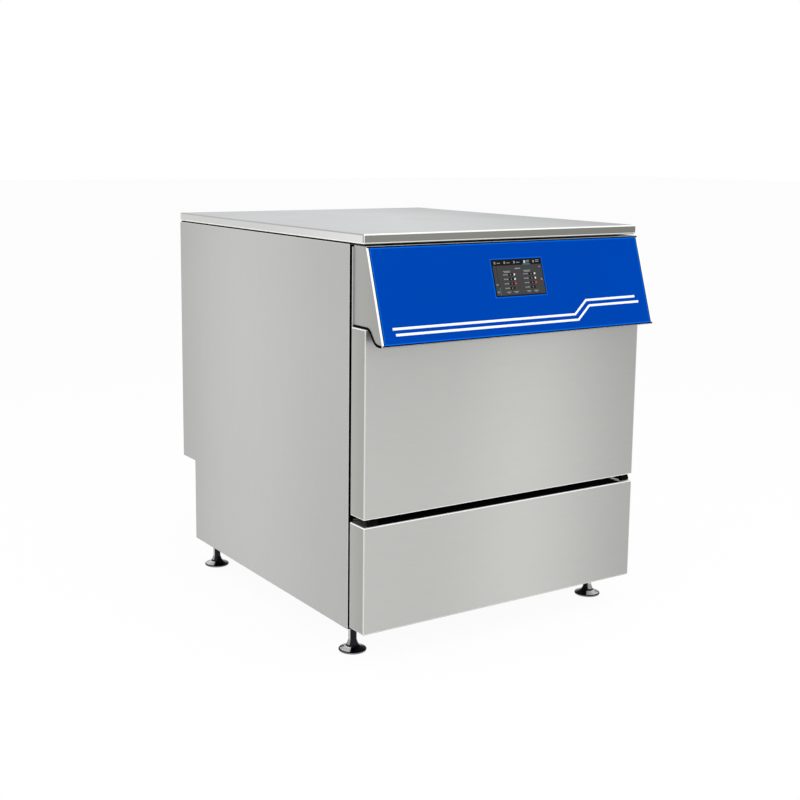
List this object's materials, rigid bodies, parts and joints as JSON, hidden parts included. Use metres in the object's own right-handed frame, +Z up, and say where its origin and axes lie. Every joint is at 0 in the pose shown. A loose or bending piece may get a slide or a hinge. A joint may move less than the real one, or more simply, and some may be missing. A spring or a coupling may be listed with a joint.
{
  "type": "laboratory glassware washer",
  "caption": "Under-bench laboratory glassware washer with a drop-down front door, slanted touch-screen console, pull-out racks, spray arms and levelling feet.",
  "frame": {"origin": "centre of the bounding box's footprint, on the floor under the feet", "axes": "+Z up, -Y towards the person at the front door, +X to that person's right"},
  "size_m": [0.66, 0.838, 0.798],
  "materials": {
    "frame_zinc": "zinc-plated steel tube, satin",
    "side_steel": "fine vertical brushed grain, satin",
    "rear_zinc": "zinc-plated sheet, satin",
    "lid_steel": "fine grain along the width, satin",
    "black_rubber": "matt elastomer",
    "door_steel": "fine horizontal brushed grain, satin",
    "screw_steel": "plain steel",
    "foot_chrome": "polished, low roughness",
    "liner_steel": "pressed stainless sheet, satin",
    "wool_grey": "pressed mineral fibre",
    "console_steel": "fine grain, satin",
    "fascia_blue": "smooth printed film, semi-gloss",
    "screen_black": "glass-like front, gloss",
    "board_green": "circuit board",
    "housing_black": "moulded plastic",
    "tub_steel": "electropolished stainless",
    "heater_alloy": "heat-tinted alloy tube",
    "wire_steel": "electropolished wire",
    "wheel_white": "moulded plastic",
    "hose_grey": "reinforced hose",
    "brass": "machined",
    "box_grey": "powder coat"
  },
  "bodies": {
    "cabinet": {"base_frame": "frame_zinc", "side_panel_right": "side_steel", "side_panel_left": "side_steel", "rear_panel_upper": "rear_zinc", "rear_panel_lower": "rear_zinc", "top_lid": "lid_steel", "lid_pads": "black_rubber", "kick_panel": "door_steel", "panel_screws": "screw_steel", "lock_housing": "housing_black", "hinge_brackets": "rear_zinc", "hinge_pins": "foot_chrome", "door_gasket": "black_rubber", "wash_tub": "tub_steel", "sump": "tub_steel", "filter_plate": "liner_steel", "heating_element": "heater_alloy", "lower_arm_post": "tub_steel", "riser_pipe": "tub_steel", "rack_rails": "liner_steel", "circulation_pump": "housing_black", "drain_pump": "housing_black", "hoses": "hose_grey", "inlet_valves": "wheel_white", "water_inlets": "brass", "drain_outlet": "housing_black", "steam_outlet": "housing_black", "cable_gland": "housing_black", "dosing_pumps": "housing_black", "blower_housing": "rear_zinc", "air_duct": "rear_zinc", "control_box": "box_grey"},
    "door": {"door_skin": "door_steel", "door_liner": "liner_steel", "door_insulation": "wool_grey", "console_shell": "console_steel", "fascia_panel": "fascia_blue", "touch_screen": "screen_black", "control_board": "board_green", "door_striker": "screw_steel", "hinge_arms": "rear_zinc"},
    "lower_rack": {"lower_rack": "wire_steel", "injector_tubes": "wire_steel"},
    "upper_rack": {"upper_rack": "wire_steel"},
    "front_axle": {"wheel_axle_front": "wheel_white"},
    "rear_axle": {"wheel_axle_rear": "wheel_white"},
    "lower_arm": {"lower_spray_arm": "liner_steel"},
    "upper_arm": {"upper_spray_arm": "liner_steel"},
    "foot_fl": {"foot_front_left": "foot_chrome"},
    "foot_fr": {"foot_front_right": "foot_chrome"},
    "foot_rl": {"foot_rear_left": "foot_chrome"},
    "foot_rr": {"foot_rear_right": "foot_chrome"},
    "bolt": {"lock_bolt": "foot_chrome"},
    "impeller": {"pump_impeller": "wheel_white"},
    "rotor_left": {"dosing_rotor_left": "wheel_white"},
    "rotor_right": {"dosing_rotor_right": "wheel_white"},
    "fan": {"blower_wheel": "housing_black"}
  },
  "joints": [
    {"name": "door_hinge", "type": "hinge", "parent": "cabinet", "child": "door", "pos_m": [0, -0.368, 0.274], "axis": [1, 0, 0], "range_deg": [0, 90]},
    {"name": "lower_rack_slide", "type": "slide", "parent": "cabinet", "child": "lower_rack", "axis": [0, -1, 0], "range_m": [0, 0.1415]},
    {"name": "upper_rack_slide", "type": "slide", "parent": "cabinet", "child": "upper_rack", "axis": [0, -1, 0], "range_m": [0, 0.2985]},
    {"name": "front_axle_roll", "type": "hinge", "parent": "lower_rack", "child": "front_axle", "pos_m": [0, -0.182, 0.3352], "axis": [1, 0, 0], "range_deg": [0, 676]},
    {"name": "rear_axle_roll", "type": "hinge", "parent": "lower_rack", "child": "rear_axle", "pos_m": [0, 0.18, 0.3352], "axis": [1, 0, 0], "range_deg": [0, 676]},
    {"name": "lower_arm_spin", "type": "hinge", "parent": "cabinet", "child": "lower_arm", "pos_m": [0, -0.02, 0.313], "axis": [0, 0, 1], "continuous": true},
    {"name": "upper_arm_spin", "type": "hinge", "parent": "cabinet", "child": "upper_arm", "pos_m": [0, -0.02, 0.672], "axis": [0, 0, 1], "continuous": true},
    {"name": "foot_fl_turn", "type": "hinge", "parent": "cabinet", "child": "foot_fl", "pos_m": [-0.298, -0.284, 0.05], "axis": [0, 0, 1], "continuous": true},
    {"name": "foot_fr_turn", "type": "hinge", "parent": "cabinet", "child": "foot_fr", "pos_m": [0.298, -0.284, 0.05], "axis": [0, 0, 1], "continuous": true},
    {"name": "foot_rl_turn", "type": "hinge", "parent": "cabinet", "child": "foot_rl", "pos_m": [-0.298, 0.308, 0.05], "axis": [0, 0, 1], "continuous": true},
    {"name": "foot_rr_turn", "type": "hinge", "parent": "cabinet", "child": "foot_rr", "pos_m": [0.298, 0.308, 0.05], "axis": [0, 0, 1], "continuous": true},
    {"name": "lock_bolt_slide", "type": "slide", "parent": "cabinet", "child": "bolt", "axis": [-1, 0, 0], "range_m": [0, 0.02]},
    {"name": "impeller_spin", "type": "hinge", "parent": "cabinet", "child": "impeller", "pos_m": [-0.1, -0.02, 0.165], "axis": [1, 0, 0], "continuous": true},
    {"name": "rotor_left_spin", "type": "hinge", "parent": "cabinet", "child": "rotor_left", "pos_m": [0.18, -0.21, 0.16], "axis": [0, 1, 0], "continuous": true},
    {"name": "rotor_right_spin", "type": "hinge", "parent": "cabinet", "child": "rotor_right", "pos_m": [0.26, -0.21, 0.16], "axis": [0, 1, 0], "continuous": true},
    {"name": "fan_spin", "type": "hinge", "parent": "cabinet", "child": "fan", "pos_m": [-0.14, 0.35, 0.352], "axis": [0, 1, 0], "continuous": true}
  ],
  "couplings": [
    {"joint": "lower_rack_slide", "follows": "door_hinge", "m_per_rad": 0.09},
    {"joint": "upper_rack_slide", "follows": "door_hinge", "m_per_rad": 0.19},
    {"joint": "front_axle_roll", "follows": "door_hinge", "ratio": 7.5},
    {"joint": "rear_axle_roll", "follows": "door_hinge", "ratio": 7.5}
  ]
}
